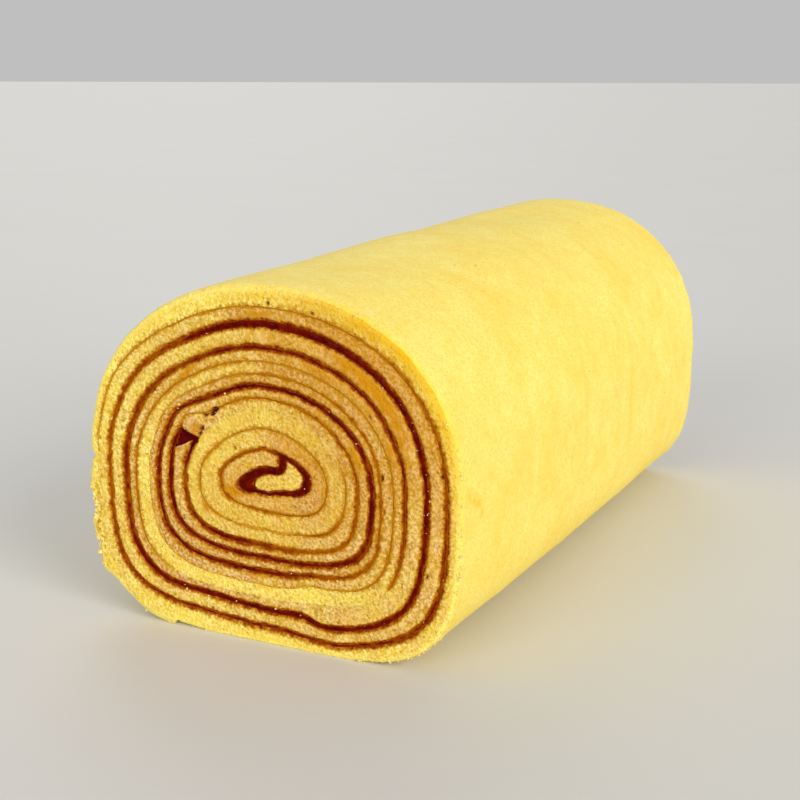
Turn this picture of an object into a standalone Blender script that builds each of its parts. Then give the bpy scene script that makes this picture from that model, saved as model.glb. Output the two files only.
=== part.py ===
"""Swiss roll cake: three thin sponge sheets wound one after another round a dark fruit filling.

The roll lies along Y with its cut face at -Y, rests on its flat underside at z = 0, and X runs
to the right of the cut face.  All the solids follow one winding line, reach(turn), measured
outward from the winding centre.  Turn 0 points straight down from the centre, and the winding
runs to the right, up, to the left and down again.
"""

import bpy
import numpy as np

# ---------------------------------------------------------------- sizes, in metres
MM = 0.001
LENGTH = 0.164
CENTRE_X = 0.0004
CENTRE_Z = 0.0342
GAP = 0.0003                    # clearance between pieces that touch in the real cake
STATIONS = 36                   # stations a turn

# Reach of the winding line straight down, right, up and left, one value a turn, in mm.
DOWN = (2.6, 6.3, 10.2, 13.6, 16.1, 19.0, 21.8, 24.5, 26.9, 30.6, 34.9, 35.6)
RIGHT = (9.6, 13.8, 18.0, 20.5, 23.6, 25.6, 28.3, 30.6, 35.1, 39.3, 42.5, 46.0)
UP = (6.2, 10.5, 14.4, 16.6, 18.9, 21.4, 23.9, 26.6, 31.2, 34.5, 38.5, 42.0)
LEFT = (10.5, 15.3, 19.2, 22.8, 25.8, 27.9, 31.3, 33.9, 38.0, 40.9, 43.2, 46.0)

# Squareness of the corners (upper right, upper left, lower left, lower right):
# the value at the core, and what each turn adds as the roll slumps.
SQUARE = ((1.98, 0.024), (1.45, 0.065), (3.1, 0.09), (2.6, 0.125))

# Local swellings of the winding: height mm, angle deg, half width deg, turn, half width turns.
SWELLINGS = (
    (1.5, 150.0, 12.0, 4.9, 1.2),
    (1.9, 149.0, 7.0, 3.66, 0.3),
    (0.6, 162.0, 9.0, 3.69, 0.3),
    (-0.9, 122.0, 16.0, 8.7, 1.5),
    (0.5, 153.0, 11.0, 9.4, 0.9),
    (1.2, -64.0, 12.0, 8.9, 0.5),
    (-1.5, -62.0, 14.0, 6.0, 1.1),
    (-0.9, 240.0, 14.0, 8.3, 0.9),
    (0.7, -31.0, 12.0, 4.2, 2.2),
    (-1.5, -30.0, 28.0, 0.1, 0.4),
    (-0.9, 215.0, 8.0, 9.85, 0.3),
    (-1.3, 219.0, 9.0, 10.86, 0.4),
)

# Where the sheets and the fillings begin and end, in turns.
FOLD_START = -0.58              # the first sheet's edge, folded into the core
INNER_END = 2.681               # the first sheet's curled end
MIDDLE_START = 2.7025
LEAN = 0.018                    # how much further on its outer side starts, in turns
MIDDLE_END = 7.128              # the second sheet tapers out under the third
OUTER_START = 7.062             # the third sheet's square cut end, under the roll
OUTER_END = 9.905               # the third sheet's outer edge, thinned against the table
OPEN_FROM = 8.999               # from here on no sheet covers the third one
CORE_FILLING_END = 2.30
POCKET = (2.6875, 2.6965)        # the filling that squeezed in between two sheet ends
MIDDLE_FILLING_END = 6.88
OUTER_FILLING = (7.150, 9.75)
TIP_ABOVE = (-0.27, -0.535)      # the folded tip's upper side, left to right
TIP_BELOW = (-0.10, 0.365)      # and its lower side
TAIL = 2.6                      # thickness of the second sheet's tail where the third begins, mm
THIN = 0.6                      # thickness where it ends, mm
STEP = 1.7                      # how far the winding steps out over the third sheet's end, mm

# Extra stations where one sheet ends and the next begins: parts of a turn, first and last turn.
JOINTS = (
    ((0.681, 0.6875, 0.6965, 0.6990, 0.712), 1, 3),
    ((0.047, 0.057, 0.067, 0.128, 0.132, 0.142), 5, 9),
)

# Path of the filling through the fold in the core: turn, x mm, z mm from the winding centre.
FOLD_PATH = (
    (-0.58, 4.35, 4.5),
    (-0.47, 3.45, 2.3),
    (-0.36, -0.6, 1.65),
    (-0.24, -3.3, -0.4),
    (-0.13, -2.8, -2.2),
    (0.0, 0.0, -2.6),
)

FOLD_INSIDE = 0.5               # filling on the inner side of the fold's path, mm

# Thickness of the filling along the winding: turn, mm.
THICKNESS = (
    (-0.58, 2.1), (-0.50, 1.6), (-0.44, 1.5), (-0.34, 1.7), (-0.275, 1.9), (-0.235, 2.7),
    (-0.195, 3.9), (-0.155, 2.2), (-0.11, 0.8), (0.0, 0.6), (0.15, 1.0), (0.25, 2.1), (0.33, 1.1), (0.42, 0.5),
    (1.0, 0.45), (2.30, 0.45), (2.69, 0.7), (2.85, 1.0), (3.05, 0.9), (3.25, 0.5),
    (3.60, 0.4), (3.68, 0.4), (3.70, 0.8), (3.75, 1.0),
    (4.00, 0.9), (4.15, 1.2), (4.50, 0.8), (5.00, 1.0), (5.25, 0.45), (6.00, 0.4),
    (6.88, 0.5), (7.15, 0.4), (7.30, 0.7), (7.60, 0.8), (7.86, 1.4), (8.00, 1.0),
    (8.04, 1.4), (8.10, 1.0), (8.30, 1.1), (8.45, 1.6), (8.55, 1.3), (8.67, 0.7),
    (9.20, 0.7), (9.45, 0.4), (9.75, 0.35),
)

# The roll along its length: at the far end it is a little taller and a little narrower.
SECTIONS = (0.0, 0.5, 1.0)
TALLER = 0.06
NARROWER = 0.06
FULLER = 0.01                   # extra girth at mid length

SPONGE_COLOUR = (0.83, 0.60, 0.22, 1.0)
SKIN_COLOUR = (0.93, 0.75, 0.30, 1.0)
FILLING_COLOUR = (0.16, 0.015, 0.006, 1.0)


# ---------------------------------------------------------------- the winding
def ramp(x):
    """Smooth rise from 0 to 1."""
    x = np.clip(x, 0.0, 1.0)
    return x * x * (3.0 - 2.0 * x)


def per_turn(values, turn):
    """Smooth curve through one value a turn."""
    first = 2.0 * values[0] - values[1]
    last = 2.0 * values[-1] - values[-2]
    v = np.asarray((first,) + tuple(values) + (last,))
    s = np.clip(turn, -0.99, len(values) - 1.0001)
    i = np.clip(np.floor(s).astype(int), 0, len(values) - 2)
    f = s - i
    a = v[i]
    b = v[i + 1]
    c = v[i + 2]
    d = v[i + 3]
    cubic = 3.0 * b - a - 3.0 * c + d
    square = 2.0 * a - 5.0 * b + 4.0 * c - d
    return 0.5 * (2.0 * b + (c - a) * f + square * f ** 2 + cubic * f ** 3)


def reach(turn):
    """Distance of the winding line from the winding centre, mm."""
    turn = np.asarray(turn, dtype=float)
    degrees = 360.0 * turn - 90.0
    angle = np.radians(degrees)
    across = np.cos(angle)
    upward = np.sin(angle)
    wide = np.where(across >= 0, per_turn(RIGHT, turn - 0.25), per_turn(LEFT, turn - 0.75))
    tall = np.where(upward >= 0, per_turn(UP, turn - 0.5), per_turn(DOWN, turn))
    top_corner = np.where(across >= 0, 0, 1)
    low_corner = np.where(across < 0, 2, 3)
    corner = np.where(upward >= 0, top_corner, low_corner)
    square = np.asarray(SQUARE)[corner]
    power = square[..., 0] + square[..., 1] * turn
    box = np.abs(across / wide) ** power + np.abs(upward / tall) ** power
    radius = box ** (-1.0 / power)
    for height, at, half, centre, turns in SWELLINGS:
        away = (degrees - at + 180.0) % 360.0 - 180.0
        radius = radius + height * np.exp(-(away / half) ** 2 - ((turn - centre) / turns) ** 2)
    step = ramp((turn - 8.044) / 0.024) * (1.0 - ramp((turn - 8.068) / 0.13))
    return radius + STEP * step


def thickness(turn):
    """Thickness of the filling, mm."""
    table = np.asarray(THICKNESS)
    return np.interp(turn, table[:, 0], table[:, 1])


def filled(turn):
    """1 where the winding line carries filling, 0 where sponge rests on sponge."""
    turn = np.asarray(turn, dtype=float)
    core = turn < CORE_FILLING_END + 0.01
    middle = (turn > POCKET[0] - 0.006) & (turn < MIDDLE_FILLING_END + 0.01)
    outer = (turn > OUTER_FILLING[0] - 0.01) & (turn < OUTER_FILLING[1] + 0.01)
    return np.where(core | middle | outer, 1.0, 0.0)


def clear(turn):
    """Distance from the winding line to the sponge beside it, mm."""
    gap = GAP / MM
    beside = 0.5 * thickness(turn) + gap
    return np.where(filled(turn) > 0.5, beside, 0.5 * gap)


def polar(radius, turn):
    """Points of the cut face, mm, from distance and turn."""
    angle = np.radians(360.0 * np.asarray(turn) - 90.0)
    return np.stack([radius * np.cos(angle), radius * np.sin(angle)], axis=1)


def stations(first, last):
    """Evenly spaced turns between two ends, with extra ones beside the sheet joints."""
    whole = np.arange(np.floor(first) - 1, np.ceil(last) + 1)
    every = np.add.outer(whole, np.arange(STATIONS) / STATIONS).ravel()
    for parts, low, high in JOINTS:
        beside = whole[(whole >= low) & (whole <= high)]
        every = np.append(every, np.add.outer(beside, parts).ravel())
    inside = every[(every > first + 0.004) & (every < last - 0.004)]
    return np.unique(np.concatenate([[first], inside, [last]]))


def fold(turn):
    """The filling's path through the fold in the core, mm."""
    table = np.asarray(FOLD_PATH)
    s = np.interp(turn, table[:, 0], np.arange(len(table)))
    x = per_turn(tuple(table[:, 1]), s)
    z = per_turn(tuple(table[:, 2]), s)
    return np.stack([x, z], axis=1)


def inside_half(turn):
    """How much of the filling lies on the inner side of its path, mm: less in the tight fold."""
    half = 0.5 * thickness(turn)
    return np.where(turn < 0.0, np.minimum(half, FOLD_INSIDE), half)


def sideways(points):
    """Unit normals of a path, to its left."""
    along = np.gradient(points, axis=0)
    along = along / np.linalg.norm(along, axis=1)[:, None]
    return np.stack([-along[:, 1], along[:, 0]], axis=1)


# ---------------------------------------------------------------- solids
def material(name, colour, roughness):
    made = bpy.data.materials.new(name)
    made.use_nodes = True
    shader = made.node_tree.nodes["Principled BSDF"]
    shader.inputs["Base Color"].default_value = colour
    shader.inputs["Roughness"].default_value = roughness
    made.diffuse_color = colour
    return made


def place(points, share):
    """Cut-face points in mm taken to metres at a share of the length."""
    girth = 1.0 + FULLER * 4.0 * share * (1.0 - share)
    wide = (1.0 - NARROWER * share) * girth
    tall = (1.0 + TALLER * share) * girth
    x = (CENTRE_X + points[:, 0] * MM) * wide
    z = np.maximum(CENTRE_Z + points[:, 1] * MM, 0.0) * tall
    y = np.full(len(points), (share - 0.5) * LENGTH)
    return np.stack([x, y, z], axis=1)


def strip(name, near, far, made):
    """One closed body between two lines of the cut face, carried along the roll."""
    count = len(near)
    rows = [place(np.concatenate([near, far]), share) for share in SECTIONS]
    points = np.concatenate(rows)
    step = 2 * count
    last = step * (len(SECTIONS) - 1)
    faces = []
    for i in range(count - 1):
        j = i + 1
        faces.append((i, count + i, count + j, j))
        faces.append((last + i, last + j, last + count + j, last + count + i))
        for row in range(len(SECTIONS) - 1):
            a = row * step
            b = a + step
            faces.append((a + i, a + j, b + j, b + i))
            faces.append((a + count + i, b + count + i, b + count + j, a + count + j))
    for row in range(len(SECTIONS) - 1):
        a = row * step
        b = a + step
        end = count - 1
        faces.append((a, b, b + count, a + count))
        faces.append((a + end, a + count + end, b + count + end, b + end))
    mesh = bpy.data.meshes.new(name)
    mesh.from_pydata(points.tolist(), [], faces)
    mesh.materials.append(made)
    mesh.validate()
    body = bpy.data.objects.new(name, mesh)
    bpy.context.scene.collection.objects.link(body)
    return body


def leaning(turn, first):
    """Turns of an outer side that starts further on than the inner side."""
    return turn + LEAN * (1.0 - ramp((turn - first) / 0.045))


def sheet(name, first, last, made, near=None, far=None, lean=False):
    """A sponge sheet that fills the winding between one turn and the next."""
    turn = stations(first, last)
    ahead = leaning(turn, first) if lean else turn
    inner = reach(turn) + clear(turn)
    outer = reach(ahead + 1.0) - clear(ahead + 1.0)
    if near is not None:
        inner = near(turn, inner)
    if far is not None:
        outer = far(turn, outer)
    return strip(name, polar(inner, turn), polar(outer, ahead), made)


def tail(turn):
    """Outer face of the second sheet's tail, which the third sheet lies on, mm."""
    done = np.clip((turn - (OUTER_START - 0.006)) / (MIDDLE_END - OUTER_START + 0.006), 0.0, 1.0)
    return reach(turn) + 0.5 * GAP / MM + THIN + (TAIL - THIN) * (1.0 - done)


def middle_far(turn, outer):
    return np.where(turn > OUTER_START - 0.006, np.minimum(outer, tail(turn)), outer)


def outer_near(turn, inner):
    return np.where(turn < MIDDLE_END + 0.004, np.maximum(inner, tail(turn) + GAP / MM), inner)


def outer_far(turn, outer):
    """The outermost face, which no other sheet covers."""
    return np.where(turn > OPEN_FROM, reach(turn + 1.0), outer)


def filling(name, first, last, made, pocket=False):
    """A strip of filling centred on the winding line."""
    turn = stations(first, last)
    half = 0.5 * thickness(turn)
    inner = reach(turn) - half
    outer = reach(turn) + half
    ahead = turn
    if pocket:
        squeezed_in = turn <= POCKET[1] + 1e-6
        share = np.clip((turn - POCKET[0]) / (POCKET[1] - POCKET[0]), 0.0, 1.0)
        ahead = np.where(squeezed_in, turn + LEAN * share, turn)
        squeezed = reach(ahead + 1.0) - 0.5 * thickness(ahead + 1.0) - GAP / MM
        outer = np.where(squeezed_in, squeezed, outer)
    return strip(name, polar(inner, turn), polar(outer, ahead), made)


def build():
    for body in list(bpy.data.objects):
        bpy.data.objects.remove(body, do_unlink=True)

    sponge = material("sponge", SPONGE_COLOUR, 0.85)
    skin = material("sponge_skin", SKIN_COLOUR, 0.75)
    fruit = material("filling", FILLING_COLOUR, 0.25)
    gap = GAP / MM

    # The core: the filling runs through the fold and on round the first sheet.
    turn = stations(FOLD_START, CORE_FILLING_END)
    path = np.where((turn < 0.0)[:, None], fold(turn), polar(reach(turn), turn))
    side = sideways(path)
    inward = inside_half(turn)
    outward = thickness(turn) - inward
    near = path + side * inward[:, None]
    far = path - side * outward[:, None]
    strip("filling_core", near, far, fruit)

    # The tip of the first sheet, closed in by the fold.
    share = np.linspace(0.0, 1.0, 11)
    above = TIP_ABOVE[0] + (TIP_ABOVE[1] - TIP_ABOVE[0]) * share
    below = TIP_BELOW[0] + (TIP_BELOW[1] - TIP_BELOW[0]) * share
    dense = np.linspace(FOLD_START, 0.5, 400)
    line = np.where((dense < 0.0)[:, None], fold(dense), polar(reach(dense), dense))
    inward = line + sideways(line) * (inside_half(dense) + gap)[:, None]
    upper = np.stack([np.interp(above, dense, inward[:, k]) for k in (0, 1)], axis=1)
    lower = np.stack([np.interp(below, dense, inward[:, k]) for k in (0, 1)], axis=1)
    strip("sponge_tip", upper, lower, sponge)

    # The first sheet: from the fold in the core to its curled end.
    turn = stations(FOLD_START + 0.02, INNER_END)
    path = np.where((turn < 0.0)[:, None], fold(turn), polar(reach(turn), turn))
    filling_side = thickness(turn) - inside_half(turn) + gap
    beside = np.where(turn < CORE_FILLING_END, filling_side, clear(turn))
    inner = path - sideways(path) * beside[:, None]
    outer = polar(reach(turn + 1.0) - clear(turn + 1.0), turn)
    strip("sponge_inner", inner, outer, sponge)

    sheet("sponge_middle", MIDDLE_START, MIDDLE_END, sponge, far=middle_far, lean=True)
    sheet("sponge_outer", OUTER_START, OUTER_END, skin, near=outer_near, far=outer_far)
    filling("filling_middle", POCKET[0], MIDDLE_FILLING_END, fruit, pocket=True)
    filling("filling_outer", OUTER_FILLING[0], OUTER_FILLING[1], fruit)


build()
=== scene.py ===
"""Swiss roll cake: the looks of a long, thin-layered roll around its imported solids.

Three thin sponge sheets are wound one after another round a dark fruit filling.  The roll lies
along Y with its cut face at -Y, rests at z = 0, and X runs to the right of that face.  Lengths on
the cut face are in millimetres from the winding centre, and a place along the winding is a turn:
turn 0 points straight down, and the winding runs to the right, up, to the left and down again.
"""

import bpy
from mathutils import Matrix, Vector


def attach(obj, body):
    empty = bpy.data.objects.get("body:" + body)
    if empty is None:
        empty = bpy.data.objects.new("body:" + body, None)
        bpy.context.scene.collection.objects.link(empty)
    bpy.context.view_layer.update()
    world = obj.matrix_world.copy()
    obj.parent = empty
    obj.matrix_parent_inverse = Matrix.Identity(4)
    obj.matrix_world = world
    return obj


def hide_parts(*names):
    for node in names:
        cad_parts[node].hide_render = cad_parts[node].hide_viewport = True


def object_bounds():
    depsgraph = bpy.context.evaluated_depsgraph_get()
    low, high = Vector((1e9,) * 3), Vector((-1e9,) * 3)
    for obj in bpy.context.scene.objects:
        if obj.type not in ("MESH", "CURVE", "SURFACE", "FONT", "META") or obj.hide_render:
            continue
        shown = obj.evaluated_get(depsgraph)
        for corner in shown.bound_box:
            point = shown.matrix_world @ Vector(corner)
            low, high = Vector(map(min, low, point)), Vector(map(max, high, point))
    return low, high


bl_info = {
    "name": "Swiss Roll Cake",
    "version": (1, 0, 0),
    "blender": (4, 5, 0),
    "location": "3D View > Sidebar > Cake",
    "description": "Sponge sheets, fruit filling, crumbs and stage of a long swiss roll",
    "category": "Add Mesh",
}

import math

import bpy
import numpy as np
from bpy.props import FloatProperty, FloatVectorProperty, IntProperty, PointerProperty
from mathutils import Vector

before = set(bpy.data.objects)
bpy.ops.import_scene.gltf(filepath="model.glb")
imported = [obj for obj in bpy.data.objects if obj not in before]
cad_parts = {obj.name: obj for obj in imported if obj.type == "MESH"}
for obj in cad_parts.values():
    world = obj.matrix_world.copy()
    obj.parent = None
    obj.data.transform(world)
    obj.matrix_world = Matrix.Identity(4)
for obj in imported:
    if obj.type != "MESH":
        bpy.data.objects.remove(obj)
CAD_LOW, CAD_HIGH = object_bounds()

MM = 0.001
FRONT, BACK = 0, 1                      # the two cut ends
CUT, SKIN = 0, 1                        # the finishes of a sheet's faces
LENGTH = (CAD_HIGH.y - CAD_LOW.y) / MM
CENTRE_X = 0.4
CENTRE_Z = 34.2

# ---------------------------------------------------------------- the winding
# Reach of the winding line straight down, right, up and left, one value a turn.
DOWN = (2.6, 6.3, 10.2, 13.6, 16.1, 19.0, 21.8, 24.5, 26.9, 30.6, 34.9, 35.6)
RIGHT = (9.6, 13.8, 18.0, 20.5, 23.6, 25.6, 28.3, 30.6, 35.1, 39.3, 42.5, 46.0)
UP = (6.2, 10.5, 14.4, 16.6, 18.9, 21.4, 23.9, 26.6, 31.2, 34.5, 38.5, 42.0)
LEFT = (10.5, 15.3, 19.2, 22.8, 25.8, 27.9, 31.3, 33.9, 38.0, 40.9, 43.2, 46.0)

# Squareness of the corners (upper right, upper left, lower left, lower right):
# the value at the core, and what each turn adds as the roll slumps.
SQUARE = ((1.98, 0.024), (1.45, 0.065), (3.1, 0.09), (2.6, 0.125))

# Local swellings of the winding: height, angle deg, half width deg, turn, half width turns.
SWELLINGS = (
    (1.5, 150.0, 12.0, 4.9, 1.2),
    (1.9, 149.0, 7.0, 3.66, 0.3),
    (0.6, 162.0, 9.0, 3.69, 0.3),
    (-0.9, 122.0, 16.0, 8.7, 1.5),
    (0.5, 153.0, 11.0, 9.4, 0.9),
    (1.2, -64.0, 12.0, 8.9, 0.5),
    (-1.5, -62.0, 14.0, 6.0, 1.1),
    (-0.9, 240.0, 14.0, 8.3, 0.9),
    (0.7, -31.0, 12.0, 4.2, 2.2),
    (-1.5, -30.0, 28.0, 0.1, 0.4),
    (-0.9, 215.0, 8.0, 9.85, 0.3),
    (-1.3, 219.0, 9.0, 10.86, 0.4),
)

# Turns at which the sheets begin and end, and the pocket between the first two.
FOLD_START = -0.58
INNER_END = 2.684
POCKET = (2.685, 2.698)
MIDDLE_START = POCKET[1]
MIDDLE_END = 7.128
OUTER_START = 7.060
OUTER_END = 9.905
SKIN_START = OUTER_END - 1.0            # where the third sheet comes out and is the skin
LEAN = 0.018                            # how much further on the second sheet's outer side starts
TIP_ABOVE = (-0.27, -0.545)             # the first sheet's tip, above and below
TIP_BELOW = (-0.10, 0.375)
TAIL = 2.6                              # thickness of the second sheet where its tail begins
THIN = 0.6                              # and where it ends
STEP = 1.7                              # step of the winding over the third sheet's cut end
STEP_AT = 8.044                         # the turn where it rises
STEP_RISE = 0.024                       # turns that its rise and its fall take
STEP_FALL = 0.13

# Runs of filling along the winding, first and last turn.
RUNS = ((FOLD_START, 2.30), (POCKET[0], 6.88), (7.150, 9.75))
RUN_FADE = 0.02                         # each run is drawn out over this share of a turn

# The filling's path through the fold in the core: turn, to the right, up.
FOLD_PATH = (
    (-0.58, 4.3, 5.6),
    (-0.47, 3.45, 2.3),
    (-0.36, -0.6, 1.65),
    (-0.24, -3.3, -0.4),
    (-0.13, -2.8, -2.2),
    (0.0, 0.0, -2.6),
)
FOLD_INSIDE = 0.5                       # most filling on the inner side of that path

# Thickness of the filling along the winding: turn, thickness.
THICKNESS = (
    (-0.58, 2.1), (-0.50, 1.6), (-0.44, 1.5), (-0.34, 1.7), (-0.275, 1.9), (-0.235, 2.7),
    (-0.195, 3.9), (-0.155, 2.2), (-0.11, 0.8), (0.0, 0.6), (0.15, 1.0), (0.25, 2.1),
    (0.33, 1.1), (0.39, 0.9), (0.43, 0.5), (1.0, 0.45), (2.30, 0.45), (2.69, 0.7),
    (2.85, 1.0), (3.05, 0.9), (3.25, 0.5), (3.60, 0.4), (3.68, 0.4), (3.70, 0.8), (3.75, 1.0),
    (4.00, 0.9), (4.15, 1.2), (4.50, 0.8), (5.00, 1.0), (5.25, 0.45), (6.00, 0.4),
    (6.88, 0.5), (7.15, 0.4), (7.30, 0.7), (7.60, 0.8), (7.86, 1.4), (8.00, 1.0),
    (8.04, 1.4), (8.10, 1.0), (8.30, 1.1), (8.45, 1.6), (8.55, 1.3), (8.67, 0.7),
    (9.20, 0.7), (9.45, 0.4), (9.75, 0.35),
)

# How dark the filling is along the winding, from 0 for a dry line to 1 for thick fruit paste.
DARKNESS = (
    (-0.58, 1.0), (0.20, 1.0), (0.32, 0.96), (0.40, 0.88), (0.50, 0.60), (0.65, 0.56),
    (0.75, 0.60), (0.88, 0.52), (1.00, 0.50), (1.15, 0.53), (1.28, 0.36), (1.40, 0.32),
    (1.60, 0.29), (1.75, 0.36), (1.90, 0.22), (2.08, 0.20), (2.14, 0.60), (2.22, 0.38),
    (2.30, 0.26), (2.685, 1.35), (2.706, 1.35), (2.715, 0.95), (2.75, 0.62),
    (2.80, 0.66), (2.88, 0.88), (3.00, 0.70), (3.12, 0.52),
    (3.25, 0.58), (3.40, 0.53), (3.50, 0.44), (3.60, 0.45), (3.62, 0.30), (3.675, 0.30),
    (3.69, 0.90), (4.00, 0.86), (4.30, 0.86), (4.42, 0.97), (4.55, 0.93), (4.66, 0.76),
    (4.78, 0.80), (4.90, 0.88), (5.03, 0.80), (5.13, 0.58), (5.25, 0.52), (5.50, 0.42),
    (5.62, 0.22), (5.72, 0.04), (5.95, 0.03), (6.08, 0.16), (6.18, 0.44), (6.30, 0.34),
    (6.50, 0.33), (6.65, 0.38), (6.80, 0.46), (6.88, 0.10), (7.15, 0.45), (7.20, 0.70),
    (7.35, 0.80), (7.52, 0.84), (7.65, 0.68), (7.78, 0.70), (7.88, 0.90), (8.04, 0.92),
    (8.20, 0.90), (8.30, 0.94), (8.38, 1.0), (8.55, 1.0), (8.62, 0.66), (8.75, 0.58),
    (8.85, 0.72), (9.05, 0.80), (9.20, 0.72), (9.30, 0.60), (9.40, 0.42), (9.55, 0.30),
    (9.65, 0.28), (9.75, 0.16),
)

# How moist and tanned the sheet beyond the winding line is, from 0 for light dry sponge to 1.
MOIST = (
    (-0.6, 0.7), (0.0, 0.65), (0.15, 0.85), (0.3, 0.88), (0.43, 0.7), (0.55, 0.3), (0.7, 0.22),
    (0.82, 0.42), (0.95, 0.32), (1.1, 0.45), (1.2, 0.58), (1.33, 0.45), (1.45, 0.3), (1.7, 0.18),
    (1.85, 0.35), (1.95, 0.48), (2.05, 0.35), (2.18, 0.9), (2.3, 0.75), (2.5, 0.55), (2.6, 0.65),
    (2.7, 1.0), (2.8, 0.75), (2.93, 1.0), (3.05, 0.85), (3.2, 0.88), (3.35, 1.0), (3.48, 0.95),
    (3.6, 0.72), (3.75, 0.8), (3.85, 1.0), (4.3, 1.0), (4.5, 0.95), (4.7, 1.0), (4.85, 1.0),
    (4.95, 0.8), (5.15, 0.72), (5.45, 0.95), (5.58, 0.42), (5.7, 0.3), (5.85, 0.2), (5.95, 0.02),
    (6.07, 0.05), (6.18, 0.65), (6.3, 0.9), (6.45, 0.8), (6.55, 0.65), (6.7, 0.72), (6.9, 1.0),
    (7.02, 0.6), (7.2, 0.6), (7.32, 0.85), (7.45, 0.7), (7.57, 0.4), (7.8, 0.42), (7.95, 0.55),
    (8.2, 0.7), (8.32, 1.0), (8.43, 1.0), (8.55, 0.68), (8.68, 0.3), (8.8, 0.48), (8.93, 0.02),
    (9.05, 0.1), (9.2, 0.45), (9.45, 0.4), (9.55, 0.0), (9.7, 0.05), (9.8, 0.2),
)

# The roll along its length: at the far end it is taller and narrower by these shares.
TALLER = 0.06
NARROWER = 0.06
FULLER = 0.01                           # and halfway along it bulges by this share

# ---------------------------------------------------------------- marks on the cut faces
# Amber stains where fruit has soaked in: angle deg, reach, half length, half width, strength.
STAINS = (
    (200.6, 8.3, 1.4, 2.3, 1.3),
    (-142.0, 4.6, 1.6, 1.0, 0.7),
    (206.0, 15.7, 1.8, 1.0, 0.8),
    (52.0, 31.4, 5.0, 1.3, 0.7),
    (38.0, 32.3, 5.5, 1.5, 1.1),
    (18.0, 31.6, 6.0, 1.1, 0.6),
    (93.0, 33.1, 3.2, 0.7, 1.2),
    (120.0, 27.5, 8.0, 1.4, 0.5),
    (135.5, 26.8, 3.6, 1.1, 0.9),
    (45.0, 29.0, 4.0, 0.8, 0.6),
    (64.0, 26.4, 3.0, 0.9, 0.6),
    (153.0, 18.2, 2.4, 1.2, 0.8),
    (20.0, 21.8, 3.4, 1.0, 0.8),
    (16.0, 29.2, 3.0, 0.9, 0.7),
    (160.0, 24.2, 2.0, 0.9, 0.8),
    (-68.0, 33.4, 2.2, 0.7, 0.5),
)

# Holes in the cut sponge: angle deg, reach, half length, half width, depth.
HOLES = (
    (133.0, 17.5, 1.15, 0.55, 2.2),
    (140.5, 18.4, 0.45, 0.45, 1.2),
    (138.5, 17.9, 0.35, 0.30, 1.0),
    (150.0, 17.2, 0.95, 0.38, 2.0),
    (154.5, 17.5, 0.35, 0.50, 1.0),
    (158.5, 22.4, 0.18, 1.20, 0.7),
    (149.0, 31.0, 0.16, 1.50, 0.5),
    (-61.0, 19.5, 0.16, 1.00, 0.6),
    (-47.0, 22.4, 0.16, 0.50, 0.5),
    (-112.0, 20.9, 0.50, 0.50, 0.9),
    (88.0, 35.4, 0.50, 0.45, 0.8),
    (72.0, 35.9, 0.42, 0.40, 0.7),
    (-22.0, 38.0, 0.52, 0.40, 0.8),
    (8.0, 38.6, 0.50, 0.42, 0.7),
    (-94.0, 31.4, 0.42, 0.40, 0.7),
    (-115.0, 31.8, 0.42, 0.36, 0.7),
    (33.0, 28.0, 0.48, 0.32, 0.8),
    (8.0, 26.1, 0.70, 0.28, 1.0),
    (-6.0, 26.6, 0.60, 0.30, 0.9),
    (-8.0, 20.0, 0.42, 0.32, 0.8),
    (-35.0, 7.9, 0.45, 0.35, 0.7),
    (141.0, 9.3, 0.40, 0.35, 0.6),
)

# The far cut end has fewer of both.
BACK_STAINS = STAINS[3:9]
BACK_HOLES = HOLES[9:]

# Hollows in the cut filling alone, given in the same way.
HOLLOWS = (
    (160.6, 19.4, 1.9, 1.2, 0.9),
    (170.0, 4.6, 1.3, 0.9, 0.45),
    (54.0, 6.4, 0.9, 0.9, 0.5),
    (7.0, 8.6, 1.5, 0.8, 0.35),
)

# Local pushes of the whole cut face: where (to the right, up), how far round, shift (right, up).
PUSHES = (
    (-17.4, 5.4, 1.3, 0.0, 0.55),
    (-21.4, 4.7, 1.1, -0.35, -0.35),
    (-16.2, 6.8, 0.9, 0.45, 0.1),
    (-20.6, 7.3, 1.0, 0.2, 0.35),
)

# Torn skin at the left of the cut edge: angle deg, half width deg, height.
TEARS = (
    (180.0, 1.1, -0.9),
    (188.0, 3.0, 0.5),
    (194.5, 1.5, -0.5),
    (200.5, 2.6, 0.8),
    (204.0, 0.7, -0.9),
    (210.5, 2.8, 1.0),
)
TORN_DEPTH = 7.0                       # how far the torn skin runs back from the cut edge

# Shallow dents of the top: distance behind the cut, to the right, half length, half width, drop.
DENTS = (
    (124.0, 3.0, 14.0, 9.0, 0.9),
    (96.0, -8.0, 10.0, 8.0, 0.35),
)

# Creases in the skin of the right flank: distance behind the cut, height, half size, strength.
CREASES = (
    (3.2, 36.0, 1.0, 1.6, 0.5),
    (5.4, 34.4, 1.1, 0.9, 0.8),
    (7.4, 33.3, 1.1, 0.9, 1.0),
    (9.4, 31.4, 1.0, 1.1, 0.7),
    (70.0, 38.0, 1.2, 20.0, 0.25),
    (104.0, 36.0, 1.4, 18.0, 0.30),
)

# The crystals' pale colour is partly a painted glint on the glossy filling.
# Sugar crystals: runs of the winding line, first turn, last turn and how many.
CRYSTAL_RUNS = (
    (8.02, 8.20, 3), (8.22, 8.37, 15), (4.20, 4.42, 8), (8.44, 8.60, 4), (9.1, 9.3, 3),
    (0.18, 0.32, 5),
)

# ---------------------------------------------------------------- the stage
# Soft lights: name, where each shines from, power and tint.
LIGHTS = (
    ("key_light", (0.81, -0.355, 0.385), 2.09, (1.0, 0.985, 0.95)),
    ("front_light", (-0.12, -1.00, 0.26), 1.20, (1.0, 0.99, 0.97)),
    ("back_light", (-0.55, 0.75, 0.60), 0.35, (1.0, 1.0, 1.0)),
)


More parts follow.
